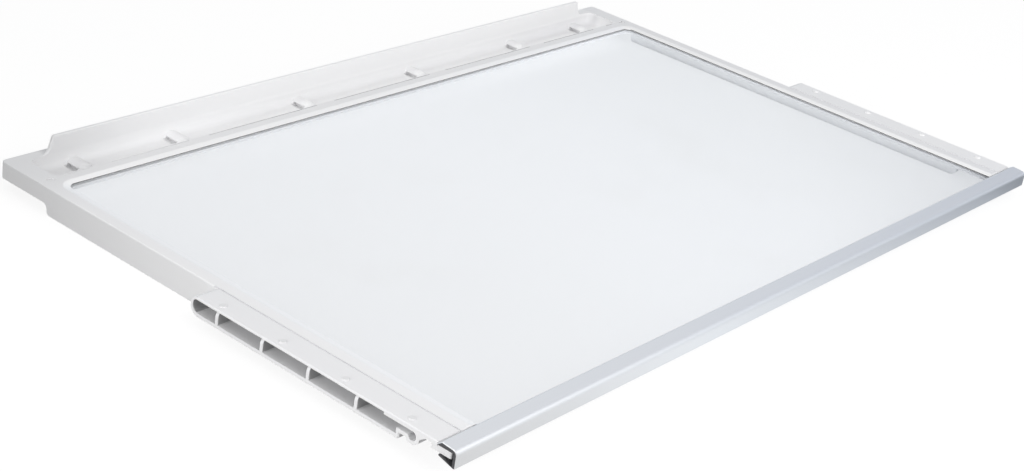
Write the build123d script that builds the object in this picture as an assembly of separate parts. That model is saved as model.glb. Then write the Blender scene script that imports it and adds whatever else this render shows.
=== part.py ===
"""Fridge shelf: a glass plate in a one-piece white frame, closed by a clipped front trim.

+X runs to the right, +Y to the back and +Z up. The origin is on the surface that the
side walls stand on, at the centre of the shelf's outline. Sizes are in millimetres.
"""
import os

from build123d import *

# Overall sizes
SHELF_WIDTH = 520.0        # length of the front trim, the widest piece
SHELF_DEPTH = 328.4        # nose of the trim to the back edge of the frame
WALL_HEIGHT = 15.0         # standing edge of the side walls to the top of the rim

# Glass plate
GLASS_THICKNESS = 4.0
GLASS_RECESS = 1.1         # top of the glass below the top of the rim
GLASS_CORNER = 5.0
GLASS_GROUND_EDGE = 0.4
GLASS_BITE = 6.5           # how far the glass reaches under the lip
GLASS_PLAY = 0.12          # clearance round and above the glass in its groove

# Walls of the moulding
WALL = 2.2
SKIN = 2.0                 # top skin over the hollows under the rear corners
LEDGE = 1.8                # ledge that the glass lies on
MOULD_OVERLAP = 1.0        # how far added forms run into the wall that carries them
CUT_MARGIN = 10.0          # how far cutting forms run past the faces they open

# Rim and lip round the glass
RIM_FLAT = 6.6             # flat top of the side rims
BACK_RIM_FLAT = 6.0        # flat top between the lip and the trough
RIM_EDGE_RADIUS = 0.7
LIP_SLOPE = 4.0            # width of the slope from the rim down to the glass
LIP_EDGE = 0.3             # upright edge at the foot of the slope
LIP_CORNER = 5.0
BODY_CORNER = 3.0

# Side walls below the rim
SKIRT_FRONT = 36.0         # nose of the trim to the front end of a side wall
SKIRT_FRONT_RADIUS = 5.0
STEP_FROM_BACK = 38.4      # back edge to the step in the side walls
STEP_RADIUS = 2.4          # lower corner of the step
STEP_HOLLOW_RADIUS = 3.2   # upper corner of the step

# Rear tray: a trough with an upright back
TRAY_DEPTH = 9.2           # top of the rim to the underside of the tray
TRAY_FLOOR = 1.8
TAB_DEPTH = 7.4            # back edge to the trough
TROUGH_BREADTH = 22.5
TROUGH_END = 11.5          # outer face of a side wall to the end of the trough
TROUGH_CORNER = 5.0
TROUGH_DRAFT = 0.5         # the trough is this much narrower at its floor on each side
TROUGH_FILLET = 4.0
TROUGH_LINE_WIDTH = 0.6    # fine groove in the rim along the front of the trough
TROUGH_LINE_DEPTH = 0.5
TROUGH_LINE_INSET = 0.4    # front of the trough to that groove
UPSTAND_RISE = 10.1        # top of the rim to the top of the upright back
UPSTAND_INSET = 27.2       # outer face of a side wall to the top corner of the upright back
UPSTAND_SPLAY = 3.3        # how far its ends run out towards the rim
UPSTAND_FOOT_RADIUS = 6.0
UPSTAND_FOOT_SINK = 0.4    # the hollow curves run out this far below the rim's surface
UPSTAND_TOP_RADIUS = 1.8
UPSTAND_EDGE_RADIUS = 0.7
UPSTAND_COVE = 2.0         # hollow fillet behind its foot

# Blind slots in the floor of the trough, each open at the left flank of a rounded hood
SLOT_WIDTH = 4.6
SLOT_LENGTH = 8.5
SLOT_DEPTH = 1.1           # floor of the trough to the floor of a slot
SLOT_RISE = 1.4            # floor of the trough to the roof of a slot under its hood
SLOT_INSET = 23.5          # end of the trough to the outermost slot
SLOT_PAIR = 66.5           # outermost slot to the next one
SLOT_TO_BACK = 1.8         # back wall of the trough to the slots
HOOD_RADIUS = 7.0
HOOD_SINK = 4.0            # axis of a hood below the floor of the trough
HOOD_SHIFT = 4.7           # axis of a hood to the right of its slot
HOOD_LENGTH = 6.0          # back end of a slot to the round front end of its hood

# Round marks of the mould on the rear corners of the rim
MARK_RADIUS = 2.2
MARK_DEPTH = 0.3
MARK_INSET = 7.0           # outer face of a side wall to the centre of a mark
MARK_FROM_BACK = 32.0

# Flanges along the front half of the sides, hollow and ribbed: the runners of the shelf
FLANGE_REACH = 14.1
FLANGE_END = 166.0         # nose of the trim to the rear end of a flange
FLANGE_BEVEL = 0.5         # bevel along its outer upper edge
CREASE_WIDTH = 0.7         # fine groove between a flange and the rim
CREASE_DEPTH = 0.8
RUNNER_HEIGHT = 10.0
RUNNER_ROOF = 1.1
RUNNER_WALL = 1.8
RUNNER_FLOOR = 2.2
RUNNER_HEEL_RADIUS = 5.5   # lower corner of the rear end
RUNNER_BROW_RADIUS = 4.3   # upper corner of the rear end
RUNNER_FRONT = 32.5        # nose of the trim to the front end of the runner's floor
RUNNER_FRONT_RADIUS = 1.2
PLATE_THICKNESS = 2.2      # solid front stretch of a flange
PLATE_LENGTH = 31.0
LOBE_RADIUS = 4.1          # rounded stop in front of the runner's floor
LOBE_FROM_NOSE = 25.2
LOBE_DROP = 4.5            # top of a flange to the centre of the stop
LOBE_GUSSET = 7.2          # length of the web that leads from the flange to the stop
CREST_DROP = 6.6           # top of a flange to the crest between stop and floor
RIB_COUNT = 4
RIB_THICKNESS = 1.8
RIB_REAR_INSET = 18.2
RIB_FRONT_INSET = 26.1
RIB_ROUND = 3.2            # outer edge of a rib curves in by this much towards the roof
RIB_ROUND_SINK = 0.3       # that curve runs out this far above the roof's underside
PIP_COUNT = 4
PIP_RADIUS = 1.9
PIP_HEIGHT = 0.5
PIP_BEVEL = 0.35
PIP_REAR_INSET = 17.0      # rear end of a flange to its last pip
PIP_FRONT_INSET = 19.0     # front end of a flange to its first pip
PIP_SIDE_INSET = 4.6       # outer edge of a flange to its pips

# Front trim: an extruded channel over the front edge of the glass and two tongues
TRIM_DEPTH = 11.0
TRIM_DROP = 8.6            # top of the flanges to the lowest edge of the trim
TRIM_BROW_RISE = 0.6       # front upper corner above the flanges
TRIM_CREST_RISE = 1.2      # highest line above the flanges
TRIM_CREST_INSET = 2.4     # highest line to the mouth of the channel
TRIM_LIP_EDGE = 0.4        # upright edge of the upper lip at the mouth
TRIM_OVERHANG = 0.4        # trim past the flanges at each end
TRIM_FRONT_WALL = 1.7
TRIM_LOWER_WALL = 1.0
TRIM_LOWER_SHORT = 1.4     # the lower lip ends this far before the upper one
TRIM_GRIP = 1.5            # flat at the tip of the lower lip that bears on the glass
TRIM_BROW_RADIUS = 2.6
TRIM_CREST_RADIUS = 0.6
TRIM_NOSE_RADIUS = 0.9
TRIM_END_BEVEL = 0.35      # bevel round the outer edges of its cut ends
TRIM_GAP = 0.3             # trim to the front ends of the frame
GLASS_TO_NOSE = 3.5        # nose of the trim to the front edge of the glass and the tongues
TONGUE_INSET = 1.0         # ends of the trim to the tongues
TONGUE_LENGTH = 11.3
TONGUE_CORNER = 0.9

# Places that follow from those sizes
NOSE = -SHELF_DEPTH / 2
BACK = SHELF_DEPTH / 2
HALF_TRIM = SHELF_WIDTH / 2
HALF_FLANGE = HALF_TRIM - TRIM_OVERHANG
HALF_BODY = HALF_FLANGE - FLANGE_REACH
ARM_FRONT = NOSE + TRIM_DEPTH + TRIM_GAP

RIM_TOP = WALL_HEIGHT
GLASS_TOP = RIM_TOP - GLASS_RECESS
GLASS_BOTTOM = GLASS_TOP - GLASS_THICKNESS
LEDGE_BOTTOM = GLASS_BOTTOM - LEDGE
LIP_UNDERSIDE = GLASS_TOP + GLASS_PLAY
LIP_FOOT = LIP_UNDERSIDE + LIP_EDGE
TRAY_BOTTOM = RIM_TOP - TRAY_DEPTH
TROUGH_FLOOR = TRAY_BOTTOM + TRAY_FLOOR
UPSTAND_TOP = RIM_TOP + UPSTAND_RISE

LIP_TOP_HALF = HALF_BODY - RIM_FLAT
WINDOW_HALF = LIP_TOP_HALF - LIP_SLOPE
GLASS_HALF = WINDOW_HALF + GLASS_BITE
TROUGH_HALF = HALF_BODY - TROUGH_END
TROUGH_BACK = BACK - TAB_DEPTH
TROUGH_FRONT = TROUGH_BACK - TROUGH_BREADTH
LIP_TOP_BACK = TROUGH_FRONT - BACK_RIM_FLAT
WINDOW_BACK = LIP_TOP_BACK - LIP_SLOPE
GLASS_BACK = WINDOW_BACK + GLASS_BITE
GLASS_FRONT = NOSE + GLASS_TO_NOSE


def block(x, y, z):
    """Box between two limits along each axis."""
    centre = Pos((x[0] + x[1]) / 2, (y[0] + y[1]) / 2, (z[0] + z[1]) / 2)
    return centre * Box(x[1] - x[0], y[1] - y[0], z[1] - z[0])


def panel(x, y, radius):
    """Rounded rectangle between two limits along each axis of its plane."""
    centre = Pos((x[0] + x[1]) / 2, (y[0] + y[1]) / 2)
    return centre * RectangleRounded(x[1] - x[0], y[1] - y[0], radius)


def strip(y, z):
    """Sharp rectangle between two limits along each axis of its plane."""
    centre = Pos((y[0] + y[1]) / 2, (z[0] + z[1]) / 2)
    return centre * Rectangle(y[1] - y[0], z[1] - z[0])


def both_sides(part):
    """A right-hand form together with its mirror image on the left."""
    return part + mirror(part, about=Plane.YZ)


def glass_plate():
    """Plate with rounded corners and a ground edge all round."""
    outline = panel((-GLASS_HALF, GLASS_HALF), (GLASS_FRONT, GLASS_BACK), GLASS_CORNER)
    plate = extrude(Plane.XY.offset(GLASS_BOTTOM) * outline, amount=GLASS_THICKNESS)
    faces = plate.faces().sort_by(Axis.Z)
    rims = faces[0].edges() + faces[-1].edges()
    return chamfer(rims, GLASS_GROUND_EDGE)


def rim_blank():
    """Two side rims and the rear tray before anything is cut into them."""
    rear_rounded = panel((-HALF_BODY, HALF_BODY), (ARM_FRONT - CUT_MARGIN, BACK), BODY_CORNER)
    outline = rear_rounded & strip((-HALF_BODY, HALF_BODY), (ARM_FRONT, BACK))
    rim = extrude(Plane.XY.offset(LEDGE_BOTTOM) * outline, amount=RIM_TOP - LEDGE_BOTTOM)
    rim = fillet(rim.faces().sort_by(Axis.Z)[-1].edges(), RIM_EDGE_RADIUS)
    tray_outline = outline & strip((-HALF_BODY, HALF_BODY), (WINDOW_BACK, BACK))
    tray = extrude(Plane.XY.offset(TRAY_BOTTOM) * tray_outline, amount=LEDGE_BOTTOM - TRAY_BOTTOM)
    return rim + tray


def glass_seat():
    """Cutter for the window, the groove that takes the glass and the sloping lip above it."""
    front = NOSE - CUT_MARGIN
    foot = panel((-WINDOW_HALF, WINDOW_HALF), (front, WINDOW_BACK), LIP_CORNER)
    brow = panel((-LIP_TOP_HALF, LIP_TOP_HALF), (front - LIP_SLOPE, LIP_TOP_BACK), LIP_CORNER + LIP_SLOPE)
    window = extrude(Plane.XY.offset(TRAY_BOTTOM) * foot, amount=LIP_FOOT - TRAY_BOTTOM)
    slope = loft([Plane.XY.offset(LIP_FOOT) * foot, Plane.XY.offset(RIM_TOP) * brow], ruled=True)
    groove = block(
        (-GLASS_HALF - GLASS_PLAY, GLASS_HALF + GLASS_PLAY),
        (front, GLASS_BACK + GLASS_PLAY),
        (GLASS_BOTTOM, LIP_UNDERSIDE),
    )
    return window + slope + groove


def trough_pocket():
    """Cutter for the trough: drafted walls and a rounded floor edge."""
    top = panel((-TROUGH_HALF, TROUGH_HALF), (TROUGH_FRONT, TROUGH_BACK), TROUGH_CORNER)
    floor = panel(
        (-TROUGH_HALF + TROUGH_DRAFT, TROUGH_HALF - TROUGH_DRAFT),
        (TROUGH_FRONT + TROUGH_DRAFT, TROUGH_BACK - TROUGH_DRAFT),
        TROUGH_CORNER - TROUGH_DRAFT,
    )
    pocket = loft([Plane.XY.offset(TROUGH_FLOOR) * floor, Plane.XY.offset(RIM_TOP) * top], ruled=True)
    return fillet(pocket.faces().sort_by(Axis.Z)[0].edges(), TROUGH_FILLET)


def underside_hollows():
    """Cutter that leaves even walls under the rear corners, behind the trough and below the ledge."""
    below = TRAY_BOTTOM - CUT_MARGIN
    inner_half = HALF_BODY - WALL
    rear = (TROUGH_BACK + WALL, BACK - WALL)
    corner_front = GLASS_BACK + GLASS_PLAY + WALL
    roof = RIM_TOP - SKIN
    behind = block((-inner_half, inner_half), rear, (below, roof))
    corner = block((TROUGH_HALF + WALL, inner_half), (corner_front, rear[1]), (below, roof))
    ledge = block((-inner_half, inner_half), (WINDOW_BACK, GLASS_BACK + GLASS_PLAY), (below, LEDGE_BOTTOM))
    return behind + both_sides(corner) + ledge


def side_wall():
    """Right-hand wall below the rim, with its step up to the tray at the back."""
    front = NOSE + SKIRT_FRONT
    step = BACK - STEP_FROM_BACK
    rear = BACK - BODY_CORNER
    top = LEDGE_BOTTOM + MOULD_OVERLAP
    outline = make_face(
        Polyline(
            (front, 0), (step, 0), (step, TRAY_BOTTOM), (rear, TRAY_BOTTOM), (rear, top), (front, top),
            close=True,
        )
    )
    corners = outline.vertices()
    outline = fillet(corners.sort_by_distance((front, 0, 0))[0], SKIRT_FRONT_RADIUS)
    outline = fillet(outline.vertices().sort_by_distance((step, 0, 0))[0], STEP_RADIUS)
    outline = fillet(outline.vertices().sort_by_distance((step, TRAY_BOTTOM, 0))[0], STEP_HOLLOW_RADIUS)
    return extrude(Plane.YZ.offset(HALF_BODY - WALL) * outline, amount=WALL)


def upstand():
    """Upright back of the trough: its ends sweep down to the rim in hollow curves."""
    top_half = HALF_BODY - UPSTAND_INSET
    foot_half = top_half + UPSTAND_SPLAY
    rooted = RIM_TOP - SKIN
    run_out = RIM_TOP - UPSTAND_FOOT_SINK
    outline = make_face(
        Polyline(
            (-TROUGH_HALF, rooted), (-TROUGH_HALF, run_out), (-foot_half, run_out), (-top_half, UPSTAND_TOP),
            (top_half, UPSTAND_TOP), (foot_half, run_out), (TROUGH_HALF, run_out), (TROUGH_HALF, rooted),
            close=True,
        )
    )
    feet = outline.vertices().filter_by(lambda v: abs(abs(v.X) - foot_half) < UPSTAND_SPLAY / 2)
    outline = fillet(feet, UPSTAND_FOOT_RADIUS)
    tops = outline.vertices().group_by(Axis.Y)[-1]
    outline = fillet(tops, UPSTAND_TOP_RADIUS)
    sheet = extrude(Plane.XZ.offset(-TROUGH_BACK) * outline, amount=-WALL)
    edges = sheet.edges().filter_by_position(Axis.Z, RIM_TOP + UPSTAND_FOOT_RADIUS, UPSTAND_TOP)
    crest = edges.filter_by(lambda e: abs(e.center().Z - UPSTAND_TOP) < UPSTAND_TOP_RADIUS)
    sheet = fillet(crest.filter_by(lambda e: abs(e.tangent_at(0.5).Y) < 0.5), UPSTAND_EDGE_RADIUS)
    behind = TROUGH_BACK + WALL
    cove = strip((behind, behind + UPSTAND_COVE), (RIM_TOP, RIM_TOP + UPSTAND_COVE))
    cove -= Pos(behind + UPSTAND_COVE, RIM_TOP + UPSTAND_COVE) * Circle(UPSTAND_COVE)
    return sheet + extrude(Plane.YZ.offset(-top_half) * cove, amount=2 * top_half)


def slot_places():
    """Places of the slots along the trough: three on each side of the middle."""
    outer = TROUGH_HALF - SLOT_INSET
    second = outer - SLOT_PAIR
    inner = second / 3
    return [-outer, -second, -inner, inner, second, outer]


def hoods_and_slots():
    """Rounded hoods that run forward from the back of the trough, and the cutters for their slots."""
    slot_back = TROUGH_BACK - TROUGH_DRAFT - SLOT_TO_BACK
    slot_front = slot_back - SLOT_LENGTH
    hood_front = slot_back - HOOD_LENGTH
    axis_height = TROUGH_FLOOR - HOOD_SINK
    bar = Rot(90, 0, 0) * Cylinder(HOOD_RADIUS, BACK - hood_front)
    ridge = Pos(0, (hood_front + BACK) / 2, axis_height) * bar
    ridge += Pos(0, hood_front, axis_height) * Rot(0, 90, 0) * Sphere(HOOD_RADIUS)
    hood = ridge & block(
        (-HOOD_RADIUS, HOOD_RADIUS),
        (TROUGH_FRONT, TROUGH_BACK + WALL / 2),
        (TRAY_BOTTOM + TRAY_FLOOR / 2, RIM_TOP),
    )
    slot = block(
        (-SLOT_WIDTH / 2, SLOT_WIDTH / 2),
        (slot_front, slot_back),
        (TROUGH_FLOOR - SLOT_DEPTH, TROUGH_FLOOR + SLOT_RISE),
    )
    hoods = Part() + [Pos(place + HOOD_SHIFT, 0, 0) * hood for place in slot_places()]
    slots = Part() + [Pos(place, 0, 0) * slot for place in slot_places()]
    return hoods, slots


def trough_line():
    """Cutter for the fine groove along the front of the trough, left out in front of each hood."""
    rear = TROUGH_FRONT - TROUGH_LINE_INSET
    front = rear - TROUGH_LINE_WIDTH
    half = TROUGH_HALF - TROUGH_CORNER
    section = make_face(
        Polyline(
            (front, RIM_TOP), (rear, RIM_TOP), ((front + rear) / 2, RIM_TOP - TROUGH_LINE_DEPTH),
            close=True,
        )
    )
    groove = extrude(Plane.YZ.offset(-half) * section, amount=2 * half)
    left_out = block(
        (-HOOD_RADIUS, HOOD_RADIUS),
        (front - CUT_MARGIN, rear + CUT_MARGIN),
        (TRAY_BOTTOM, RIM_TOP + CUT_MARGIN),
    )
    return groove - [Pos(place + HOOD_SHIFT, 0, 0) * left_out for place in slot_places()]


def mould_marks():
    """Cutter for the shallow round marks on the rear corners of the rim."""
    mark = Cylinder(MARK_RADIUS, 2 * MARK_DEPTH)
    return both_sides(Pos(HALF_BODY - MARK_INSET, BACK - MARK_FROM_BACK, RIM_TOP) * mark)


def runner_outline():
    """Side view of a flange: long box with a rounded rear end, waved floor and stop at the front."""
    floor = RIM_TOP - RUNNER_HEIGHT
    rear = NOSE + FLANGE_END
    floor_front = NOSE + RUNNER_FRONT
    lobe_y = NOSE + LOBE_FROM_NOSE
    lobe_z = RIM_TOP - LOBE_DROP
    plate_under = RIM_TOP - PLATE_THICKNESS
    box = strip((floor_front, rear), (floor, RIM_TOP))
    box = fillet(box.vertices().sort_by_distance((rear, floor, 0))[0], RUNNER_HEEL_RADIUS)
    box = fillet(box.vertices().sort_by_distance((rear, RIM_TOP, 0))[0], RUNNER_BROW_RADIUS)
    box = fillet(box.vertices().sort_by_distance((floor_front, floor, 0))[0], RUNNER_FRONT_RADIUS)
    outline = box + strip((ARM_FRONT, ARM_FRONT + PLATE_LENGTH), (plate_under, RIM_TOP))
    outline += Pos(lobe_y, lobe_z) * Circle(LOBE_RADIUS)
    outline += strip((lobe_y, floor_front + RUNNER_WALL), (RIM_TOP - CREST_DROP, RIM_TOP))
    outline += make_face(
        Polyline(
            (lobe_y, plate_under), (lobe_y - LOBE_GUSSET, plate_under), (lobe_y - LOBE_RADIUS, lobe_z),
            close=True,
        )
    )
    return outline


def runner_hollow():
    """Side view of the space in a runner: the long box, then the neck and the round of the stop."""
    floor = RIM_TOP - RUNNER_HEIGHT + RUNNER_FLOOR
    roof = RIM_TOP - RUNNER_ROOF
    rear = NOSE + FLANGE_END - RUNNER_WALL
    box_front = ARM_FRONT + PLATE_LENGTH
    floor_front = NOSE + RUNNER_FRONT + RUNNER_WALL
    plate_under = RIM_TOP - PLATE_THICKNESS
    lobe_y = NOSE + LOBE_FROM_NOSE
    neck_floor = RIM_TOP - CREST_DROP + RUNNER_WALL
    hollow = strip((box_front, rear), (floor, roof))
    heel = hollow.vertices().sort_by_distance((rear, floor, 0))[0]
    hollow = fillet(heel, RUNNER_HEEL_RADIUS - RUNNER_WALL)
    brow = hollow.vertices().sort_by_distance((rear, roof, 0))[0]
    hollow = fillet(brow, RUNNER_BROW_RADIUS - RUNNER_WALL)
    hollow += strip((floor_front, box_front), (floor, plate_under))
    hollow += strip((lobe_y, floor_front), (neck_floor, plate_under))
    stop = Pos(lobe_y, RIM_TOP - LOBE_DROP) * Circle(LOBE_RADIUS - RUNNER_WALL)
    return hollow + (stop & strip((lobe_y - LOBE_RADIUS, lobe_y + LOBE_RADIUS), (0, plate_under)))


def runner_ribs():
    """Thin upright ribs across a runner, each with an outer edge that curves in towards the roof."""
    rear = NOSE + FLANGE_END - RIB_REAR_INSET
    front = NOSE + RUNNER_FRONT + RIB_FRONT_INSET
    pitch = (rear - front) / (RIB_COUNT - 1)
    breadth = (-RIB_THICKNESS / 2, RIB_THICKNESS / 2)
    curve_top = RIM_TOP - RUNNER_ROOF + RIB_ROUND_SINK
    curve_x = HALF_FLANGE - RIB_ROUND
    curve_z = curve_top - RIB_ROUND
    corner = block((curve_x, HALF_FLANGE + MOULD_OVERLAP), breadth, (curve_z, curve_top))
    corner -= Pos(curve_x, 0, curve_z) * Rot(90, 0, 0) * Cylinder(RIB_ROUND, 2 * RIB_THICKNESS)
    rib = block((HALF_BODY, HALF_FLANGE), breadth, (RIM_TOP - RUNNER_HEIGHT, RIM_TOP)) - corner
    return Part() + [Pos(0, front + pitch * n, 0) * rib for n in range(RIB_COUNT)]


def flange():
    """Right-hand flange: ribbed runner, front tongue for the trim, and the pips on top."""
    reach = HALF_FLANGE - HALF_BODY
    inner_plane = Plane.YZ.offset(HALF_BODY - MOULD_OVERLAP)
    runner = extrude(inner_plane * runner_outline(), amount=reach + MOULD_OVERLAP)
    outer_edges = runner.faces().sort_by(Axis.X)[-1].edges()
    upper_edges = outer_edges.filter_by(lambda e: e.center().Z > RIM_TOP - RUNNER_BROW_RADIUS / 2)
    runner = chamfer(upper_edges.filter_by(lambda e: e.center().Y > ARM_FRONT + FLANGE_BEVEL), FLANGE_BEVEL)
    hollow = extrude(Plane.YZ.offset(HALF_BODY) * runner_hollow(), amount=reach + CUT_MARGIN)
    tongue = block(
        (GLASS_HALF + GLASS_PLAY, HALF_TRIM - TONGUE_INSET),
        (GLASS_FRONT, GLASS_FRONT + TONGUE_LENGTH),
        (GLASS_BOTTOM, GLASS_TOP),
    )
    tongue = fillet(tongue.edges().filter_by(Axis.Z).group_by(Axis.Y)[0], TONGUE_CORNER)
    pip = Cylinder(PIP_RADIUS, 2 * PIP_HEIGHT)
    pip = chamfer(pip.edges().group_by(Axis.Z)[-1], PIP_BEVEL)
    pip_front = ARM_FRONT + PIP_FRONT_INSET
    pip_pitch = (NOSE + FLANGE_END - PIP_REAR_INSET - pip_front) / (PIP_COUNT - 1)
    pip_x = HALF_FLANGE - PIP_SIDE_INSET
    pips = [Pos(pip_x, pip_front + pip_pitch * n, RIM_TOP) * pip for n in range(PIP_COUNT)]
    return runner - (hollow - runner_ribs()) + tongue + pips


def creases():
    """Cutter for the fine V groove along the inner edge of each flange."""
    outer = HALF_BODY - CREASE_WIDTH
    groove = make_face(
        Polyline(
            (outer, RIM_TOP), (HALF_BODY, RIM_TOP), ((outer + HALF_BODY) / 2, RIM_TOP - CREASE_DEPTH),
            close=True,
        )
    )
    length = NOSE + FLANGE_END - ARM_FRONT
    return both_sides(extrude(Plane.XZ.offset(-ARM_FRONT) * groove, amount=-length))


def frame():
    """The white moulding in one piece."""
    hoods, slots = hoods_and_slots()
    body = rim_blank() - glass_seat() - underside_hollows() - trough_pocket()
    body += upstand()
    body += hoods
    body = body - slots - trough_line() - mould_marks()
    return body + both_sides(side_wall()) + both_sides(flange()) - creases()


def front_trim():
    """Channel of one section along its length: crowned top, lower lip rising to grip the glass."""
    bottom = RIM_TOP - TRIM_DROP
    brow = RIM_TOP + TRIM_BROW_RISE
    crest = RIM_TOP + TRIM_CREST_RISE
    mouth = NOSE + TRIM_DEPTH
    crest_y = mouth - TRIM_CREST_INSET
    lower_tip = mouth - TRIM_LOWER_SHORT
    inner = NOSE + TRIM_FRONT_WALL
    section = make_face(
        Polyline(
            (NOSE, bottom), (lower_tip, GLASS_BOTTOM - TRIM_LOWER_WALL), (lower_tip, GLASS_BOTTOM),
            (lower_tip - TRIM_GRIP, GLASS_BOTTOM), (inner, bottom + TRIM_LOWER_WALL), (inner, GLASS_TOP),
            (mouth, GLASS_TOP), (mouth, GLASS_TOP + TRIM_LIP_EDGE), (crest_y, crest), (NOSE, brow),
            close=True,
        )
    )
    section = fillet(section.vertices().sort_by_distance((NOSE, brow, 0))[0], TRIM_BROW_RADIUS)
    section = fillet(section.vertices().sort_by_distance((crest_y, crest, 0))[0], TRIM_CREST_RADIUS)
    section = fillet(section.vertices().sort_by_distance((NOSE, bottom, 0))[0], TRIM_NOSE_RADIUS)
    trim = extrude(Plane.YZ.offset(-HALF_TRIM) * section, amount=SHELF_WIDTH)
    end_edges = trim.faces().filter_by(Axis.X).edges()
    upper = end_edges.filter_by(lambda e: e.center().Z > RIM_TOP)
    front = end_edges.filter_by(lambda e: e.center().Z < RIM_TOP and e.center().Y < NOSE + TRIM_NOSE_RADIUS)
    return chamfer(upper + front, TRIM_END_BEVEL)


os.makedirs("parts", exist_ok=True)
export_step(glass_plate(), "parts/glass_plate.step")
export_step(frame(), "parts/frame.step")
export_step(front_trim(), "parts/front_trim.step")
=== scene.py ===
"""Fridge glass shelf: finishes for its three pieces, the pale studio floor, soft light and the camera."""
import math

import bpy
from mathutils import Matrix, Vector

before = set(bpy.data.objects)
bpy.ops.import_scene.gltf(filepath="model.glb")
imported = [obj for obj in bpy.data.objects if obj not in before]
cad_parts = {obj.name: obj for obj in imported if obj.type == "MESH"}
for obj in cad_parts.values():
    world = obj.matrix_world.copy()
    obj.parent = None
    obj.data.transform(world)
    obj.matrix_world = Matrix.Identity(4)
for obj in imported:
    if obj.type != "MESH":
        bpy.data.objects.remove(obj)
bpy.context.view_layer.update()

# Places on the shelf, in millimetres, as the part's source has them
TRIM_HALF = 260.0
TRIM_NOSE = -164.2
TRIM_BOTTOM = 6.4
TRIM_UNDERSIDE_RISE = 0.2604
LIP_FOOT_HALF = 234.9
LIP_TOP_HALF = 238.9
LIP_FOOT_BACK = 124.3
LIP_TOP_BACK = 128.3
LIP_FOOT_HEIGHT = 14.32
RIM_TOP = 15.0
GLASS_TOP = 13.9
GLASS_UNDERSIDE = 9.9
TROUGH_LINE_FRONT = 133.3
TROUGH_LINE_BACK = 133.9
TRAY_HALF = 234.0
WALL_OUTER_HALF = 245.5
WALL_INNER_HALF = 243.3
CREASE_INNER_HALF = 244.8
CREASE_FLOOR = 14.2
FLANGE_HALF = 259.6
CELL_FLOOR = 7.2
CELL_ROOF = 13.9
CELL_BACK = 0.0
CELL_FRONT = -131.7

# Soft steps, in millimetres: a mask is 0 at the first place and 1 at the second
LEFT_TO_RIGHT = (-100.0, 100.0)
RIGHT_TO_LEFT = (100.0, -100.0)
TRAY_BEHIND_LINE = (TROUGH_LINE_BACK, TROUGH_LINE_BACK + 0.5)
TRAY_WITHIN_ENDS = (TRAY_HALF + 0.5, TRAY_HALF)
TRAY_PAST_LEFT_END = (-225.0, -120.0)
TROUGH_BELOW_RIM = (14.6, 12.6)
TROUGH_PAST_LEFT_END = (-150.0, -60.0)
TROUGH_FLOOR_TO_BACK = (146.0, 152.0)
TROUGH_TO_RIGHT_END = (120.0, 210.0)
CORNER_TO_BACK = (95.0, 150.0)
CORNER_TO_LEFT = (-150.0, -245.0)
CORNER_TOP = (14.0, 14.8)
CORNER_INSIDE_WALL = (244.8, 244.0)
FLANGE_PAST_WALL = (WALL_OUTER_HALF + 0.1, WALL_OUTER_HALF + 0.5)
FLANGE_TOP = (14.2, 14.6)
SLOPE_BELOW_RIM = (RIM_TOP - 0.02, RIM_TOP - 0.10)
SLOPE_ABOVE_FOOT = (LIP_FOOT_HEIGHT - 0.05, LIP_FOOT_HEIGHT + 0.02)
SLOPE_WITHIN_SIDES = (LIP_TOP_HALF + 0.3, LIP_TOP_HALF + 0.1)
SLOPE_BEFORE_BACK = (LIP_TOP_BACK + 0.3, LIP_TOP_BACK + 0.1)
GROOVE_BEHIND_FRONT = (TROUGH_LINE_FRONT - 0.02, TROUGH_LINE_FRONT + 0.02)
GROOVE_BEFORE_BACK = (TROUGH_LINE_BACK + 0.02, TROUGH_LINE_BACK - 0.02)
GROOVE_BELOW_RIM = (RIM_TOP - 0.03, RIM_TOP - 0.08)
GROOVE_ABOVE_FLOOR = (RIM_TOP - 0.65, RIM_TOP - 0.55)
GROOVE_PAST_LEFT_END = (-190.0, -90.0)
CELL_BEHIND_RIB_EDGE = (FLANGE_HALF - 0.25, FLANGE_HALF - 0.6)
CELL_OUTSIDE_WALL = (WALL_OUTER_HALF - 0.2, WALL_OUTER_HALF - 0.05)
CELL_ABOVE_FLOOR = (CELL_FLOOR + 0.02, CELL_FLOOR + 0.25)
CELL_BELOW_ROOF = (CELL_ROOF + 0.1, CELL_ROOF + 0.02)
CELL_BEFORE_BACK = (CELL_BACK + 0.1, CELL_BACK + 0.02)
CELL_BEHIND_FRONT = (CELL_FRONT, CELL_FRONT + 6.0)
RIB_CURVE = (CELL_ROOF - 1.9, CELL_ROOF)
RUNNER_BEFORE_BACK = (CELL_BACK + 2.0, CELL_BACK + 1.6)
PIP_ABOVE_FLANGE = (RIM_TOP + 0.02, RIM_TOP + 0.08)
PIP_OUTSIDE_WALL = (WALL_OUTER_HALF, WALL_OUTER_HALF + 0.2)
BESIDE_CREASE_FROM_RIM = (CREASE_INNER_HALF - 0.9, CREASE_INNER_HALF)
BESIDE_CREASE_FROM_FLANGE = (WALL_OUTER_HALF + 0.9, WALL_OUTER_HALF)
BESIDE_CREASE_ON_TOP = (RIM_TOP - 0.3, RIM_TOP - 0.1)
CREASE_FROM_RIM = (CREASE_INNER_HALF - 0.02, CREASE_INNER_HALF + 0.05)
CREASE_FROM_FLANGE = (WALL_OUTER_HALF + 0.02, WALL_OUTER_HALF - 0.05)
CREASE_BELOW_RIM = (RIM_TOP - 0.02, RIM_TOP - 0.15)
CREASE_ABOVE_FLOOR = (CREASE_FLOOR - 0.1, CREASE_FLOOR)
INNER_WALL_FACE = (WALL_INNER_HALF + 0.15, WALL_INNER_HALF + 0.05)
INNER_WALL_TO_LEDGE = (WALL_INNER_HALF - 12.5, WALL_INNER_HALF - 11.5)
INNER_WALL_BELOW_GLASS = (GLASS_UNDERSIDE - 0.02, GLASS_UNDERSIDE - 0.06)
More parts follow.
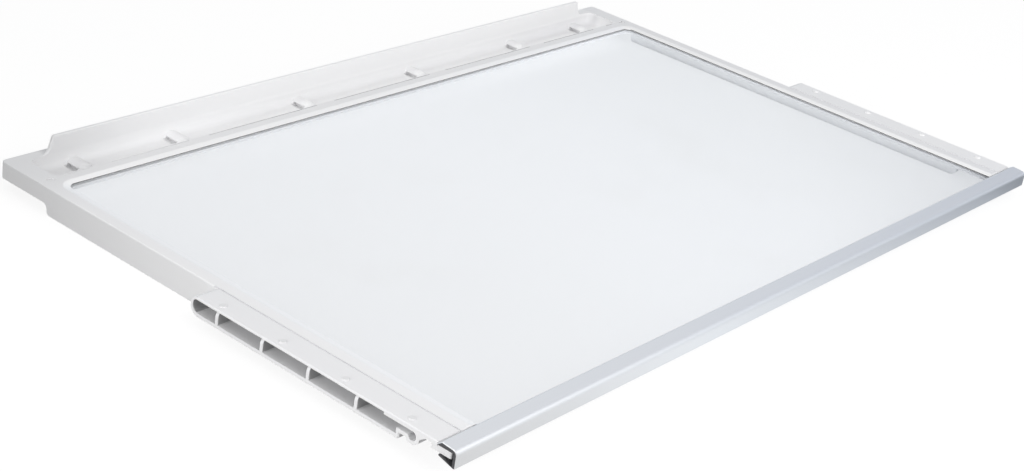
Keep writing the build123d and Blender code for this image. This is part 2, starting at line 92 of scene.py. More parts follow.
INNER_WALL_BEFORE_TRAY = (124.0, 121.0)
INNER_WALL_FOOT_TO_TOP = (1.0, 8.0)
JOINT_BELOW_SLOPE = (LIP_FOOT_HEIGHT - 0.02, LIP_FOOT_HEIGHT - 0.08)
JOINT_ABOVE_GLASS = (GLASS_TOP - 0.3, GLASS_TOP - 0.1)
JOINT_AT_SIDE = (LIP_FOOT_HALF - 0.6, LIP_FOOT_HALF - 0.3)
JOINT_AT_BACK = (LIP_FOOT_BACK - 0.6, LIP_FOOT_BACK - 0.3)
JOINT_WITHIN_SIDES = (LIP_TOP_HALF, LIP_FOOT_HALF + 1.0)
JOINT_BEFORE_BACK = (LIP_TOP_BACK, LIP_FOOT_BACK + 1.0)
TRIM_CUT_END = (TRIM_HALF - 0.06, TRIM_HALF - 0.01)
TRIM_UNDER_TOP = (GLASS_TOP + 0.25, GLASS_TOP + 0.1)
TRIM_BEHIND_FRONT = (TRIM_NOSE + 0.8, TRIM_NOSE + 1.0)
TRIM_OVER_UNDERSIDE = (0.3, 0.5)

# How far the outer edges of the ribs curve in at the roof of the cells, in millimetres
RIB_CURVE_DEPTH = 1.5

# Tones of the white moulding
PLASTIC_DARKER = (0.855, 0.855, 0.862)
PLASTIC_LIGHTER = (0.885, 0.885, 0.89)
# Painted light on the upright back and the trough's floor, painted shade on the trough's back at its right
# end
UPRIGHT_BACK_PAINTED_LIGHT = (0.93, 0.93, 0.935)
TROUGH_FLOOR_PAINTED_LIGHT = (0.98, 0.98, 0.983)
TROUGH_BACK = (0.88, 0.88, 0.885)
TROUGH_BACK_RIGHT_PAINTED_SHADE = (0.845, 0.845, 0.855)
# Painted shade in the rear left corner
REAR_LEFT_PAINTED_SHADE = (0.76, 0.76, 0.765)
# Painted shade on the left flange, painted light on the right flange
LEFT_FLANGE_PAINTED_SHADE = (0.83, 0.83, 0.838)
RIGHT_FLANGE_PAINTED_LIGHT = (0.925, 0.925, 0.928)
# Painted highlight on the slope of the lip
LIP_SLOPE_PAINTED_HIGHLIGHT = (0.975, 0.977, 0.98)
# Painted shade in the groove in front of the trough
GROOVE_PAINTED_SHADE = (0.42, 0.42, 0.43)
GROOVE_PAINTED_SHADE_LEAST = 0.3
# Dust with painted shade inside the cells of the runners
CELL_DUST_AND_SHADE_DARKER = (0.34, 0.34, 0.345)
CELL_DUST_AND_SHADE_LIGHTER = (0.54, 0.54, 0.545)
# Painted shade on the left pips, painted light on the right pips
LEFT_PIPS_PAINTED_SHADE = (0.76, 0.76, 0.765)
RIGHT_PIPS_PAINTED_LIGHT = (0.985, 0.985, 0.985)
# Painted shade beside and in the crease between rim and flange
BESIDE_CREASE_PAINTED_SHADE = (0.80, 0.80, 0.808)
CREASE_PAINTED_SHADE = (0.74, 0.74, 0.75)
# Painted light at the foot of the inner walls, painted shade under the glass
INNER_WALL_FOOT_PAINTED_LIGHT = (0.985, 0.988, 0.985)
INNER_WALL_TOP_PAINTED_SHADE = (0.71, 0.712, 0.71)
# Painted shade in the joint between lip and glass
JOINT_PAINTED_SHADE = (0.11, 0.11, 0.115)

# Tones of the glass and the trim
GLASS_CLEAR = (0.898, 0.912, 0.932)
GLASS_SMEARED = (0.883, 0.895, 0.91)
GLASS_LETS_THROUGH = 0.92
FOIL_DARKER = (0.77, 0.775, 0.785)
FOIL_LIGHTER = (0.825, 0.828, 0.837)
TRIM_CORE = (0.066, 0.066, 0.07)

# Roughness from the lowest to the highest, over the part of a noise that is in use
NOISE_USED = (0.3, 0.7)
PLASTIC_ROUGHNESS = (0.34, 0.44)
GLASS_ROUGHNESS = (0.015, 0.06)
FOIL_ROUGHNESS = (0.44, 0.52)
SMEAR_ROUGHNESS = 0.05
CORE_ROUGHNESS = 0.2
PLASTIC_IOR = 1.5
GLASS_IOR = 1.5

# Sizes of the patterns, and the strength and the depth in metres of the fine relief
GRAIN_SIZE = 2600.0
WAVINESS_SIZE = 30.0
WAVINESS_SHARE = 0.6
GLASS_SMEAR_SIZE = 14.0
TRIM_SMEAR_SIZE = 30.0
SMEAR_SHOWS = (0.52, 0.78)
DUST_STREAKS = (60.0, 420.0, 60.0)
DRAWN_LINES = (6.0, 1800.0, 1800.0)
PLASTIC_RELIEF = (0.25, 0.00004)
FOIL_RELIEF = (0.2, 0.00003)
MM_PER_METRE = (1000.0, 1000.0, 1000.0)

# The floor, with places in metres: tones for reflections, for the eye and for light from below
FLOOR_SIZE = 8.0
FLOOR_MIRROR_TO_RIGHT = (-0.08, 0.27)
FLOOR_MIRROR_TO_LEFT = (-0.05, -0.27)
FLOOR_MIRROR_PAST_TRIM = (0.23, 0.29)
FLOOR_MIRROR_MIDDLE = (0.89, 0.93, 0.97)
FLOOR_MIRROR_RIGHT = (0.25, 0.29, 0.35)
FLOOR_MIRROR_LEFT = (0.64, 0.64, 0.635)
FLOOR_MIRROR_FAR_RIGHT = (0.08, 0.11, 0.15)
FLOOR_SEEN_TO_LEFT = (0.02, -0.25)
FLOOR_SEEN_TO_RIGHT = (0.05, 0.24)
FLOOR_SEEN_MIDDLE = (0.86, 0.86, 0.86)
FLOOR_SEEN_LEFT = (0.80, 0.80, 0.80)
FLOOR_SEEN_RIGHT = (0.82, 0.82, 0.815)
FLOOR_SHADOWED = (0.18, 0.18, 0.18, 1.0)
FLOOR_PAST_SIDES = (0.235, 0.24)
FLOOR_PAST_FRONT_AND_BACK = (0.15, 0.155)
FLOOR_TO_BACK = (-0.18, 0.22)
FLOOR_UNDER_GLASS = (0.90, 0.90, 0.90)
FLOOR_OPEN_FRONT = (0.45, 0.45, 0.45)
FLOOR_OPEN_BACK = (0.12, 0.12, 0.12)
# Painted light: the paper under the glass glows onto the shelf from below
PAPER_GLOW_TO_RIGHT = (0.02, 0.20)
PAPER_GLOW_SHARE = (0.36, 1.0)
PAPER_GLOW = (0.95, 0.95, 0.95)
UNLIT = (0.0, 0.0, 0.0)

# The surroundings, by direction: light that falls on the shelf, and tones that it reflects
SKY_TO_RIGHT = (-0.3, 0.9)
SKY_TO_HORIZON = (0.55, 0.05)
SKY_OVERHEAD = (0.55, 0.55, 0.555)
SKY_LOW_LEFT = (0.08, 0.08, 0.08)
SKY_LOW_RIGHT = (0.30, 0.31, 0.32)
MIRROR_HIGH_TO_LOW = (0.62, 0.35)
MIRROR_LOW_TO_HORIZON = (0.35, 0.0)
MIRROR_LOW = (0.87, 0.94, 1.03)
MIRROR_HORIZON = (0.54, 0.60, 0.68)
MIRROR_HIGH_TO_RIGHT = (0.70, 0.80)
MIRROR_HIGH_LEFT = (0.90, 0.90, 0.905)
MIRROR_HIGH_RIGHT = (0.97, 1.07, 1.21)
MIRROR_TO_FRONT = (0.05, -0.35)
MIRROR_FRONT_TO_RIGHT = (0.69, 0.79)
MIRROR_FRONT_LEFT = (0.38, 0.38, 0.38)
MIRROR_FRONT_RIGHT = (1.22, 1.34, 1.50)
MIRROR_TO_FAR_RIGHT = (0.81, 0.90)
MIRROR_FAR_RIGHT_FRONT_SHIFT = 0.03
MIRROR_FAR_RIGHT = (0.11, 0.16, 0.29)
WHITE = (1.0, 1.0, 1.0, 1.0)

# The camera, fitted to the corners of the shelf in the photograph, in metres and millimetres of lens
CAMERA_SENSOR = 36.0
CAMERA_LENS = 68.09
CAMERA_PLACE = (
    (0.642999, 0.245708, -0.725383, -0.8026),
    (-0.752303, 0.380104, -0.538109, -0.5768),
    (0.143503, 0.891711, 0.429253, 0.4413),
    (0.0, 0.0, 0.0, 1.0),
)


def math_node(tree, operation, a, b=None):
    """A math node with its inputs set to sockets or numbers; returns its output."""
    node = tree.nodes.new("ShaderNodeMath")
    node.operation = operation
    for socket, value in zip(node.inputs, (a, b)):
        if value is None:
            continue
        if hasattr(value, "is_linked"):
            tree.links.new(value, socket)
        else:
            socket.default_value = value
    return node.outputs[0]


def ramp_between(tree, value, low, high, to_low=0.0, to_high=1.0, smooth=True):
    """Map range from low..high to to_low..to_high, clamped; returns its output."""
    node = tree.nodes.new("ShaderNodeMapRange")
    node.clamp = True
    node.interpolation_type = "SMOOTHSTEP" if smooth else "LINEAR"
    tree.links.new(value, node.inputs["Value"])
    node.inputs["From Min"].default_value = low
    node.inputs["From Max"].default_value = high
    node.inputs["To Min"].default_value = to_low
    node.inputs["To Max"].default_value = to_high
    return node.outputs["Result"]


def product(tree, *factors):
    """Product of sockets or numbers; returns its output."""
    result = factors[0]
    for factor in factors[1:]:
        result = math_node(tree, "MULTIPLY", result, factor)
    return result


def mask(tree, *steps):
    """Product of soft steps, each a socket and the two places between which it rises."""
    return product(tree, *(ramp_between(tree, socket, *places) for socket, places in steps))


def noise_node(tree, vector, scale, detail=2.0, roughness=0.5):
    """Noise texture on a vector socket; returns its value output."""
    node = tree.nodes.new("ShaderNodeTexNoise")
    node.inputs["Scale"].default_value = scale
    node.inputs["Detail"].default_value = detail
    node.inputs["Roughness"].default_value = roughness
    tree.links.new(vector, node.inputs["Vector"])
    return node.outputs["Fac"]


def stretched(tree, vector, scale):
    """Mapping node that scales a vector; returns its output."""
    node = tree.nodes.new("ShaderNodeMapping")
    node.inputs["Scale"].default_value = scale
    tree.links.new(vector, node.inputs["Vector"])
    return node.outputs["Vector"]


def mixed_colour(tree, factor, a, b):
    """Colour mix of two colours or sockets by a factor socket; returns its output."""
    node = tree.nodes.new("ShaderNodeMix")
    node.data_type = "RGBA"
    tree.links.new(factor, node.inputs["Factor"])
    colour_inputs = [s for s in node.inputs if s.type == "RGBA"]
    for socket, value in zip(colour_inputs, (a, b)):
        if hasattr(value, "is_linked"):
            tree.links.new(value, socket)
        else:
            socket.default_value = (*value, 1.0)
    return [s for s in node.outputs if s.type == "RGBA"][0]


def joined_shaders(tree, first, second, factor=None):
    """Two shader nodes added, or mixed by a factor socket; returns the new node."""
    node = tree.nodes.new("ShaderNodeAddShader" if factor is None else "ShaderNodeMixShader")
    shader_inputs = [s for s in node.inputs if s.type == "SHADER"]
    if factor is not None:
        tree.links.new(factor, node.inputs[0])
    for socket, part in zip(shader_inputs, (first, second)):
        tree.links.new(part.outputs[0], socket)
    return node


def thrown_back_rays(tree, path):
    """1 for rays that a surface reflects, 0 for those that pass through the glass."""
    kept_outside = math_node(tree, "SUBTRACT", 1.0, path.outputs["Is Transmission Ray"])
    return product(tree, path.outputs["Is Glossy Ray"], kept_outside)


def new_group(name, inputs, outputs):
    """Empty shader node group with named float inputs and outputs."""
    group = bpy.data.node_groups.new(name, "ShaderNodeTree")
    for label, value in inputs:
        socket = group.interface.new_socket(name=label, in_out="INPUT", socket_type="NodeSocketFloat")
        socket.default_value = value
    for label in outputs:
        group.interface.new_socket(name=label, in_out="OUTPUT", socket_type="NodeSocketFloat")
    start = group.nodes.new("NodeGroupInput")
    end = group.nodes.new("NodeGroupOutput")
    return group, start, end


def place_group(tree, group, values):
    """The group as a node in a material, with its own values."""
    node = tree.nodes.new("ShaderNodeGroup")
    node.node_tree = group
    for label, value in values.items():
        node.inputs[label].default_value = value
    return node


def make_moulded_grain():
    """Fine spark-eroded grain of a mould and the slow unevenness of a moulded skin."""
    group, start, end = new_group(
        "moulded_grain",
        [("Grain Size", GRAIN_SIZE), ("Waviness Size", WAVINESS_SIZE)],
        ["Height", "Tone"],
    )
    place = group.nodes.new("ShaderNodeTexCoord").outputs["Object"]
    grain = group.nodes.new("ShaderNodeTexNoise")
    grain.inputs["Detail"].default_value = 3.0
    group.links.new(place, grain.inputs["Vector"])
    group.links.new(start.outputs["Grain Size"], grain.inputs["Scale"])
    wave = group.nodes.new("ShaderNodeTexNoise")
    wave.inputs["Detail"].default_value = 1.0
    group.links.new(place, wave.inputs["Vector"])
    group.links.new(start.outputs["Waviness Size"], wave.inputs["Scale"])
    slow = product(group, wave.outputs["Fac"], WAVINESS_SHARE)
    group.links.new(math_node(group, "ADD", grain.outputs["Fac"], slow), end.inputs["Height"])
    group.links.new(wave.outputs["Fac"], end.inputs["Tone"])
    return group


def make_handling_marks():
    """Faint smears that a wiped glossy surface keeps."""
    group, start, end = new_group("handling_marks", [("Smear Size", GLASS_SMEAR_SIZE)], ["Smear"])
    place = group.nodes.new("ShaderNodeTexCoord").outputs["Object"]
    smear = group.nodes.new("ShaderNodeTexNoise")
    smear.inputs["Detail"].default_value = 5.0
    smear.inputs["Roughness"].default_value = 0.6
    group.links.new(place, smear.inputs["Vector"])
    group.links.new(start.outputs["Smear Size"], smear.inputs["Scale"])
    group.links.new(ramp_between(group, smear.outputs["Fac"], *SMEAR_SHOWS), end.inputs["Smear"])
    return group


MOULDED_GRAIN = make_moulded_grain()
HANDLING_MARKS = make_handling_marks()


def new_finish(name):
    """Empty material with a Principled shader; returns the material, its tree and the shader."""
    finish = bpy.data.materials.new(name)
    finish.use_nodes = True
    tree = finish.node_tree
    shader = tree.nodes["Principled BSDF"]
    return finish, tree, shader


def place_in_mm(tree):
    """Object coordinates in millimetres as three sockets."""
    coord = tree.nodes.new("ShaderNodeTexCoord").outputs["Object"]
    scaled = stretched(tree, coord, MM_PER_METRE)
    split = tree.nodes.new("ShaderNodeSeparateXYZ")
    tree.links.new(scaled, split.inputs[0])
    return split.outputs["X"], split.outputs["Y"], split.outputs["Z"]


def add_bump(tree, shader, height, strength, distance):
    """Fine relief on a shader, with its depth in metres."""
    bump = tree.nodes.new("ShaderNodeBump")
    bump.inputs["Strength"].default_value = strength
    bump.inputs["Distance"].default_value = distance
    tree.links.new(height, bump.inputs["Height"])
    tree.links.new(bump.outputs["Normal"], shader.inputs["Normal"])


def white_moulding():
    """Semi-gloss white plastic of the frame, with painted light and shade on the tray, the rear left corner,
    the flanges, the pips, the lip's slope and the inner walls, painted shade in the joint, the groove and the
    crease, and dust with painted shade in the cells.
    """
    finish, tree, shader = new_finish("white_moulding")
    grain = place_group(tree, MOULDED_GRAIN, {"Grain Size": GRAIN_SIZE, "Waviness Size": WAVINESS_SIZE})
    x, y, z = place_in_mm(tree)
    half = math_node(tree, "ABSOLUTE", x)
    to_right_side = ramp_between(tree, x, *LEFT_TO_RIGHT)

    body = mixed_colour(tree, grain.outputs["Tone"], PLASTIC_DARKER, PLASTIC_LIGHTER)

    # Away from its left end the tray has painted light: the upright back and the trough's floor are painted
    # lighter, and the trough's back is painted greyer towards its right end as painted shade
    tray = mask(tree, (y, TRAY_BEHIND_LINE), (x, TRAY_PAST_LEFT_END), (half, TRAY_WITHIN_ENDS))
    trough = mask(tree, (z, TROUGH_BELOW_RIM), (x, TROUGH_PAST_LEFT_END))
    to_right_end = ramp_between(tree, x, *TROUGH_TO_RIGHT_END)
    back_tone = mixed_colour(tree, to_right_end, TROUGH_BACK, TROUGH_BACK_RIGHT_PAINTED_SHADE)
    trough_tone = mixed_colour(tree, ramp_between(tree, y, *TROUGH_FLOOR_TO_BACK), TROUGH_FLOOR_PAINTED_LIGHT, back_tone)
    body = mixed_colour(tree, tray, body, mixed_colour(tree, trough, UPRIGHT_BACK_PAINTED_LIGHT, trough_tone))

    # Painted shade: the rear left corner is painted a little greyer, except on the outer face of the wall
    off_wall = math_node(
        tree, "MAXIMUM", ramp_between(tree, z, *CORNER_TOP), ramp_between(tree, half, *CORNER_INSIDE_WALL)
    )
    corner = product(tree, mask(tree, (y, CORNER_TO_BACK), (x, CORNER_TO_LEFT)), off_wall)
    body = mixed_colour(tree, corner, body, REAR_LEFT_PAINTED_SHADE)

    # Painted shade and light: the left flange is painted a little greyer than the right one, which is painted
    # whiter
    flange = mask(tree, (half, FLANGE_PAST_WALL), (z, FLANGE_TOP))
    body = mixed_colour(tree, flange, body, mixed_colour(tree, to_right_side, LEFT_FLANGE_PAINTED_SHADE, RIGHT_FLANGE_PAINTED_LIGHT))

    # The slope of the lip is polished, with a clear coat, and its colour is painted whiter as a painted
    # highlight
    slope = mask(
        tree,
        (z, SLOPE_BELOW_RIM), (z, SLOPE_ABOVE_FOOT), (half, SLOPE_WITHIN_SIDES), (y, SLOPE_BEFORE_BACK),
    )
    body = mixed_colour(tree, slope, body, LIP_SLOPE_PAINTED_HIGHLIGHT)
    tree.links.new(slope, shader.inputs["Coat Weight"])

    # Painted shade in the fine groove in front of the trough, least at its left end
    groove = mask(
        tree,
        (y, GROOVE_BEHIND_FRONT), (y, GROOVE_BEFORE_BACK), (z, GROOVE_BELOW_RIM), (z, GROOVE_ABOVE_FLOOR),
    )
    groove = product(tree, groove, ramp_between(tree, x, *GROOVE_PAST_LEFT_END, GROOVE_PAINTED_SHADE_LEAST, 1.0))
    body = mixed_colour(tree, groove, body, GROOVE_PAINTED_SHADE)

    # Grey dust and painted shade lie inside the cells of the runners, behind the clean curved outer edges of
    # their ribs
    curve = ramp_between(tree, z, *RIB_CURVE, smooth=False)
    reach = math_node(tree, "ADD", half, product(tree, curve, curve, RIB_CURVE_DEPTH))
    cell = mask(
        tree,
        (reach, CELL_BEHIND_RIB_EDGE), (half, CELL_OUTSIDE_WALL), (z, CELL_ABOVE_FLOOR),
        (z, CELL_BELOW_ROOF), (y, CELL_BEFORE_BACK), (y, CELL_BEHIND_FRONT),
    )
    coord = tree.nodes.new("ShaderNodeTexCoord").outputs["Object"]
    streaks = noise_node(tree, stretched(tree, coord, DUST_STREAKS), scale=1.0, detail=4.0, roughness=0.6)
    body = mixed_colour(tree, cell, body, mixed_colour(tree, streaks, CELL_DUST_AND_SHADE_DARKER, CELL_DUST_AND_SHADE_LIGHTER))

    # The small pips on the flanges: painted shade on the left, painted light on the right
    pip = mask(tree, (z, PIP_ABOVE_FLANGE), (half, PIP_OUTSIDE_WALL), (y, RUNNER_BEFORE_BACK))
    body = mixed_colour(tree, pip, body, mixed_colour(tree, to_right_side, LEFT_PIPS_PAINTED_SHADE, RIGHT_PIPS_PAINTED_LIGHT))

    # On the left, painted shade in the crease between rim and flange, and a fainter painted shade on both
    # sides of it
    on_left_runner = mask(tree, (y, RUNNER_BEFORE_BACK), (x, RIGHT_TO_LEFT))
    beside_crease = mask(tree, (half, BESIDE_CREASE_FROM_RIM), (half, BESIDE_CREASE_FROM_FLANGE), (z, BESIDE_CREASE_ON_TOP))
    body = mixed_colour(tree, product(tree, beside_crease, on_left_runner), body, BESIDE_CREASE_PAINTED_SHADE)
    crease = mask(
        tree,
        (half, CREASE_FROM_RIM), (half, CREASE_FROM_FLANGE), (z, CREASE_BELOW_RIM), (z, CREASE_ABOVE_FLOOR),
    )
    body = mixed_colour(tree, product(tree, crease, on_left_runner), body, CREASE_PAINTED_SHADE)

    # The inner faces of the side walls and the ledge: painted light at the foot, painted shade up under the
    # glass
    inner_wall = mask(
        tree,
        (half, INNER_WALL_FACE), (half, INNER_WALL_TO_LEDGE),
        (z, INNER_WALL_BELOW_GLASS), (y, INNER_WALL_BEFORE_TRAY),
    )
    up_wall = ramp_between(tree, z, *INNER_WALL_FOOT_TO_TOP, smooth=False)
    body = mixed_colour(tree, inner_wall, body, mixed_colour(tree, up_wall, INNER_WALL_FOOT_PAINTED_LIGHT, INNER_WALL_TOP_PAINTED_SHADE))

    # Painted shade in the joint: the lip's upright edge and the groove under it are painted dark
    along_lip = math_node(
        tree, "MAXIMUM", ramp_between(tree, half, *JOINT_AT_SIDE), ramp_between(tree, y, *JOINT_AT_BACK)
    )
    joint = mask(
        tree,
        (z, JOINT_BELOW_SLOPE), (z, JOINT_ABOVE_GLASS), (half, JOINT_WITHIN_SIDES), (y, JOINT_BEFORE_BACK),
    )
    body = mixed_colour(tree, product(tree, joint, along_lip), body, JOINT_PAINTED_SHADE)
    tree.links.new(body, shader.inputs["Base Color"])

    rough = ramp_between(tree, grain.outputs["Tone"], *NOISE_USED, *PLASTIC_ROUGHNESS, smooth=False)
    tree.links.new(rough, shader.inputs["Roughness"])
    add_bump(tree, shader, grain.outputs["Height"], *PLASTIC_RELIEF)
    shader.inputs["IOR"].default_value = PLASTIC_IOR
    return finish


def clear_glass():
    """Clear float glass, hardly tinted, with faint wiping smears."""
    finish, tree, shader = new_finish("clear_glass")
    smear = place_group(tree, HANDLING_MARKS, {"Smear Size": GLASS_SMEAR_SIZE}).outputs["Smear"]
    tree.links.new(mixed_colour(tree, smear, GLASS_CLEAR, GLASS_SMEARED), shader.inputs["Base Color"])
    rough = ramp_between(tree, smear, 0.0, 1.0, *GLASS_ROUGHNESS, smooth=False)
    tree.links.new(rough, shader.inputs["Roughness"])
    shader.inputs["Transmission Weight"].default_value = 1.0
    shader.inputs["IOR"].default_value = GLASS_IOR
    # Light that falls through the plate onto the plastic below is let straight through
    path = tree.nodes.new("ShaderNodeLightPath")
    passing = math_node(tree, "MAXIMUM", path.outputs["Is Shadow Ray"], path.outputs["Is Diffuse Ray"])
    let_through = product(tree, passing, GLASS_LETS_THROUGH)
    tree.links.new(math_node(tree, "SUBTRACT", 1.0, let_through), shader.inputs["Alpha"])
    return finish


def silver_trim():
    """Silver foil drawn along the channel, over a dark core that shows at the cut ends and inside."""
    finish, tree, shader = new_finish("silver_trim")
    smear = place_group(tree, HANDLING_MARKS, {"Smear Size": TRIM_SMEAR_SIZE}).outputs["Smear"]
    x, y, z = place_in_mm(tree)
    half = math_node(tree, "ABSOLUTE", x)

    # The sloping underside of the channel lies at its own height for each place behind the nose
    from_nose = math_node(tree, "SUBTRACT", y, TRIM_NOSE)
    underside = math_node(tree, "ADD", product(tree, from_nose, TRIM_UNDERSIDE_RISE), TRIM_BOTTOM)
    over_underside = math_node(tree, "SUBTRACT", z, underside)
    inside = mask(tree, (z, TRIM_UNDER_TOP), (y, TRIM_BEHIND_FRONT), (over_underside, TRIM_OVER_UNDERSIDE))
    core = math_node(tree, "MAXIMUM", ramp_between(tree, half, *TRIM_CUT_END), inside)

    coord = tree.nodes.new("ShaderNodeTexCoord").outputs["Object"]
    drawn = noise_node(tree, stretched(tree, coord, DRAWN_LINES), scale=1.0, detail=3.0, roughness=0.6)
    foil = mixed_colour(tree, drawn, FOIL_DARKER, FOIL_LIGHTER)
    tree.links.new(mixed_colour(tree, core, foil, TRIM_CORE), shader.inputs["Base Color"])
    foil_rough = ramp_between(tree, drawn, *NOISE_USED, *FOIL_ROUGHNESS, smooth=False)
    smeared = math_node(tree, "ADD", foil_rough, product(tree, smear, SMEAR_ROUGHNESS))
    rough = math_node(tree, "ADD", smeared, product(tree, core, CORE_ROUGHNESS))
    tree.links.new(rough, shader.inputs["Roughness"])
    tree.links.new(math_node(tree, "SUBTRACT", 1.0, core), shader.inputs["Metallic"])
    add_bump(tree, shader, drawn, *FOIL_RELIEF)
    return finish


def dress(node, finish):
    """Gives a CAD node its finish in every material slot."""
    if not node.material_slots:
        node.data.materials.append(finish)
    for slot in node.material_slots:
        slot.material = finish


def white_paper():
    """Paper that is white to the eye, greyer in reflections to the right, with the shelf's soft shadow."""
    paper = bpy.data.materials.new("white_paper")
    paper.use_nodes = True
    tree = paper.node_tree
    tree.nodes.clear()
    out = tree.nodes.new("ShaderNodeOutputMaterial")
    path = tree.nodes.new("ShaderNodeLightPath")
    through_glass = path.outputs["Is Transmission Ray"]
    place = tree.nodes.new("ShaderNodeSeparateXYZ")
    tree.links.new(tree.nodes.new("ShaderNodeTexCoord").outputs["Object"], place.inputs[0])
    x, y = place.outputs["X"], place.outputs["Y"]

    # What the trim and the glass reflect
    to_right = ramp_between(tree, x, *FLOOR_MIRROR_TO_RIGHT, smooth=False)
    to_left = ramp_between(tree, x, *FLOOR_MIRROR_TO_LEFT, smooth=False)
    past_trim = ramp_between(tree, x, *FLOOR_MIRROR_PAST_TRIM)
    mirrored = mixed_colour(tree, to_right, FLOOR_MIRROR_MIDDLE, FLOOR_MIRROR_RIGHT)
    mirrored = mixed_colour(tree, to_left, mirrored, FLOOR_MIRROR_LEFT)
    mirrored = mixed_colour(tree, past_trim, mirrored, FLOOR_MIRROR_FAR_RIGHT)

    # What the eye sees, straight or through the glass
    seen_left = product(tree, ramp_between(tree, x, *FLOOR_SEEN_TO_LEFT), through_glass)
    seen_right = product(tree, ramp_between(tree, x, *FLOOR_SEEN_TO_RIGHT), through_glass)
    straight = mixed_colour(tree, seen_left, FLOOR_SEEN_MIDDLE, FLOOR_SEEN_LEFT)
    straight = mixed_colour(tree, seen_right, straight, FLOOR_SEEN_RIGHT)
    glow = tree.nodes.new("ShaderNodeEmission")
    tree.links.new(mixed_colour(tree, thrown_back_rays(tree, path), straight, mirrored), glow.inputs["Color"])
    shadowed = tree.nodes.new("ShaderNodeBsdfDiffuse")
    shadowed.inputs["Color"].default_value = FLOOR_SHADOWED
    to_eye = joined_shaders(tree, shadowed, glow)

    # What lights the shelf from below: paper under the glass that is bright and also glows, most towards the
    # right, as painted light, and dimmer floor around it
    past_sides = ramp_between(tree, math_node(tree, "ABSOLUTE", x), *FLOOR_PAST_SIDES)
    past_ends = ramp_between(tree, math_node(tree, "ABSOLUTE", y), *FLOOR_PAST_FRONT_AND_BACK)
    outside = math_node(tree, "MAXIMUM", past_sides, past_ends)
    open_floor = mixed_colour(tree, ramp_between(tree, y, *FLOOR_TO_BACK), FLOOR_OPEN_FRONT, FLOOR_OPEN_BACK)
    matt = tree.nodes.new("ShaderNodeBsdfDiffuse")
    tree.links.new(mixed_colour(tree, outside, FLOOR_UNDER_GLASS, open_floor), matt.inputs["Color"])
    glow_share = ramp_between(tree, x, *PAPER_GLOW_TO_RIGHT, *PAPER_GLOW_SHARE)
    glow_share = product(tree, glow_share, math_node(tree, "SUBTRACT", 1.0, outside))
    glowing_paper = tree.nodes.new("ShaderNodeEmission")
    tree.links.new(mixed_colour(tree, glow_share, UNLIT, PAPER_GLOW), glowing_paper.inputs["Color"])
    to_shelf = joined_shaders(tree, matt, glowing_paper)

    seen = math_node(tree, "MAXIMUM", path.outputs["Is Camera Ray"], path.outputs["Is Glossy Ray"])
    seen = math_node(tree, "MAXIMUM", seen, through_glass)
    tree.links.new(joined_shaders(tree, to_shelf, to_eye, seen).outputs[0], out.inputs["Surface"])
    return paper


def studio_floor():
    """Level sheet of white paper that the shelf stands on."""
    bpy.ops.object.select_all(action="DESELECT")
    bpy.ops.mesh.primitive_plane_add(size=FLOOR_SIZE, location=(0.0, 0.0, 0.0))
    floor = bpy.context.object
    floor.name = "studio_floor"
    floor.data.materials.append(white_paper())


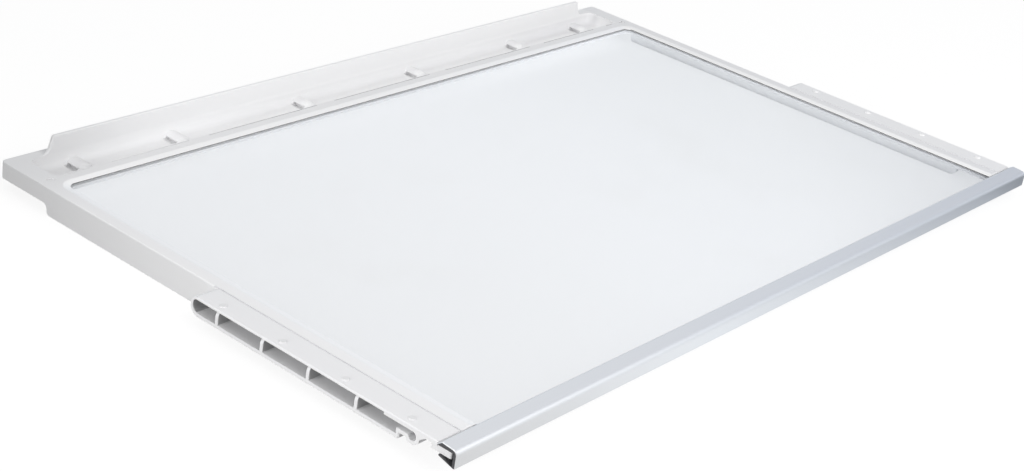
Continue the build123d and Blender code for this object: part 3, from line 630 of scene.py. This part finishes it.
def soft_world():
    """Pale surroundings: light from above, dim near the horizon, with their own tones in reflections."""
    world = bpy.data.worlds.new("soft_surroundings")
    world.use_nodes = True
    tree = world.node_tree
    tree.nodes.clear()
    out = tree.nodes.new("ShaderNodeOutputWorld")
    path = tree.nodes.new("ShaderNodeLightPath")
    direction = tree.nodes.new("ShaderNodeSeparateXYZ")
    tree.links.new(tree.nodes.new("ShaderNodeTexCoord").outputs["Generated"], direction.inputs[0])
    x, y, z = direction.outputs["X"], direction.outputs["Y"], direction.outputs["Z"]

    # Light that falls on the shelf
    low_tone = mixed_colour(tree, ramp_between(tree, x, *SKY_TO_RIGHT), SKY_LOW_LEFT, SKY_LOW_RIGHT)
    lit = mixed_colour(tree, ramp_between(tree, z, *SKY_TO_HORIZON), SKY_OVERHEAD, low_tone)

    # Tones that it reflects: neutral on the left, bluish to the right and dark at the far right
    to_horizon = ramp_between(tree, z, *MIRROR_LOW_TO_HORIZON, smooth=False)
    low_mirrored = mixed_colour(tree, to_horizon, MIRROR_LOW, MIRROR_HORIZON)
    high_right = ramp_between(tree, x, *MIRROR_HIGH_TO_RIGHT)
    high_mirrored = mixed_colour(tree, high_right, MIRROR_HIGH_LEFT, MIRROR_HIGH_RIGHT)
    to_low = ramp_between(tree, z, *MIRROR_HIGH_TO_LOW, smooth=False)
    mirrored = mixed_colour(tree, to_low, high_mirrored, low_mirrored)
    front_right = ramp_between(tree, x, *MIRROR_FRONT_TO_RIGHT)
    front_mirrored = mixed_colour(tree, front_right, MIRROR_FRONT_LEFT, MIRROR_FRONT_RIGHT)
    to_front = ramp_between(tree, y, *MIRROR_TO_FRONT)
    mirrored = mixed_colour(tree, to_front, mirrored, front_mirrored)
    shifted = math_node(tree, "SUBTRACT", x, product(tree, to_front, MIRROR_FAR_RIGHT_FRONT_SHIFT))
    far_right = ramp_between(tree, shifted, *MIRROR_TO_FAR_RIGHT)
    mirrored = mixed_colour(tree, far_right, mirrored, MIRROR_FAR_RIGHT)

    light = tree.nodes.new("ShaderNodeBackground")
    tree.links.new(mixed_colour(tree, thrown_back_rays(tree, path), lit, mirrored), light.inputs["Color"])
    white = tree.nodes.new("ShaderNodeBackground")
    white.inputs["Color"].default_value = WHITE
    for background in (light, white):
        background.inputs["Strength"].default_value = 1.0
    surroundings = joined_shaders(tree, light, white, path.outputs["Is Camera Ray"])
    tree.links.new(surroundings.outputs[0], out.inputs["Surface"])
    bpy.context.scene.world = world


def soft_lamp(name, place, target, size, watts, spread=180.0):
    """Large square lamp that looks at a point, with its spread in degrees."""
    data = bpy.data.lights.new(name, "AREA")
    data.shape = "SQUARE"
    data.size = size
    data.energy = watts
    data.spread = math.radians(spread)
    lamp = bpy.data.objects.new(name, data)
    lamp.location = place
    lamp.rotation_euler = (Vector(target) - Vector(place)).to_track_quat("-Z", "Y").to_euler()
    bpy.context.scene.collection.objects.link(lamp)


def photo_camera():
    """Camera at the photograph's viewing angle."""
    data = bpy.data.cameras.new("photo_camera")
    data.sensor_fit = "HORIZONTAL"
    data.sensor_width = CAMERA_SENSOR
    data.lens = CAMERA_LENS
    camera = bpy.data.objects.new("photo_camera", data)
    bpy.context.scene.collection.objects.link(camera)
    camera.matrix_world = Matrix(CAMERA_PLACE)
    bpy.context.scene.camera = camera


dress(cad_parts["frame"], white_moulding())
dress(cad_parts["glass_plate"], clear_glass())
dress(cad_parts["front_trim"], silver_trim())

studio_floor()
soft_world()
soft_lamp("front_softbox", place=(0.03, -1.00, 0.75), target=(0.0, 0.0, 0.0), size=1.3, watts=9.3)
soft_lamp(
    "left_softbox", place=(-0.85, -0.05, 0.20), target=(-0.25, -0.11, 0.01),
    size=0.4, watts=0.59, spread=80.0,
)
photo_camera()
bpy.context.scene.view_settings.view_transform = "Standard"
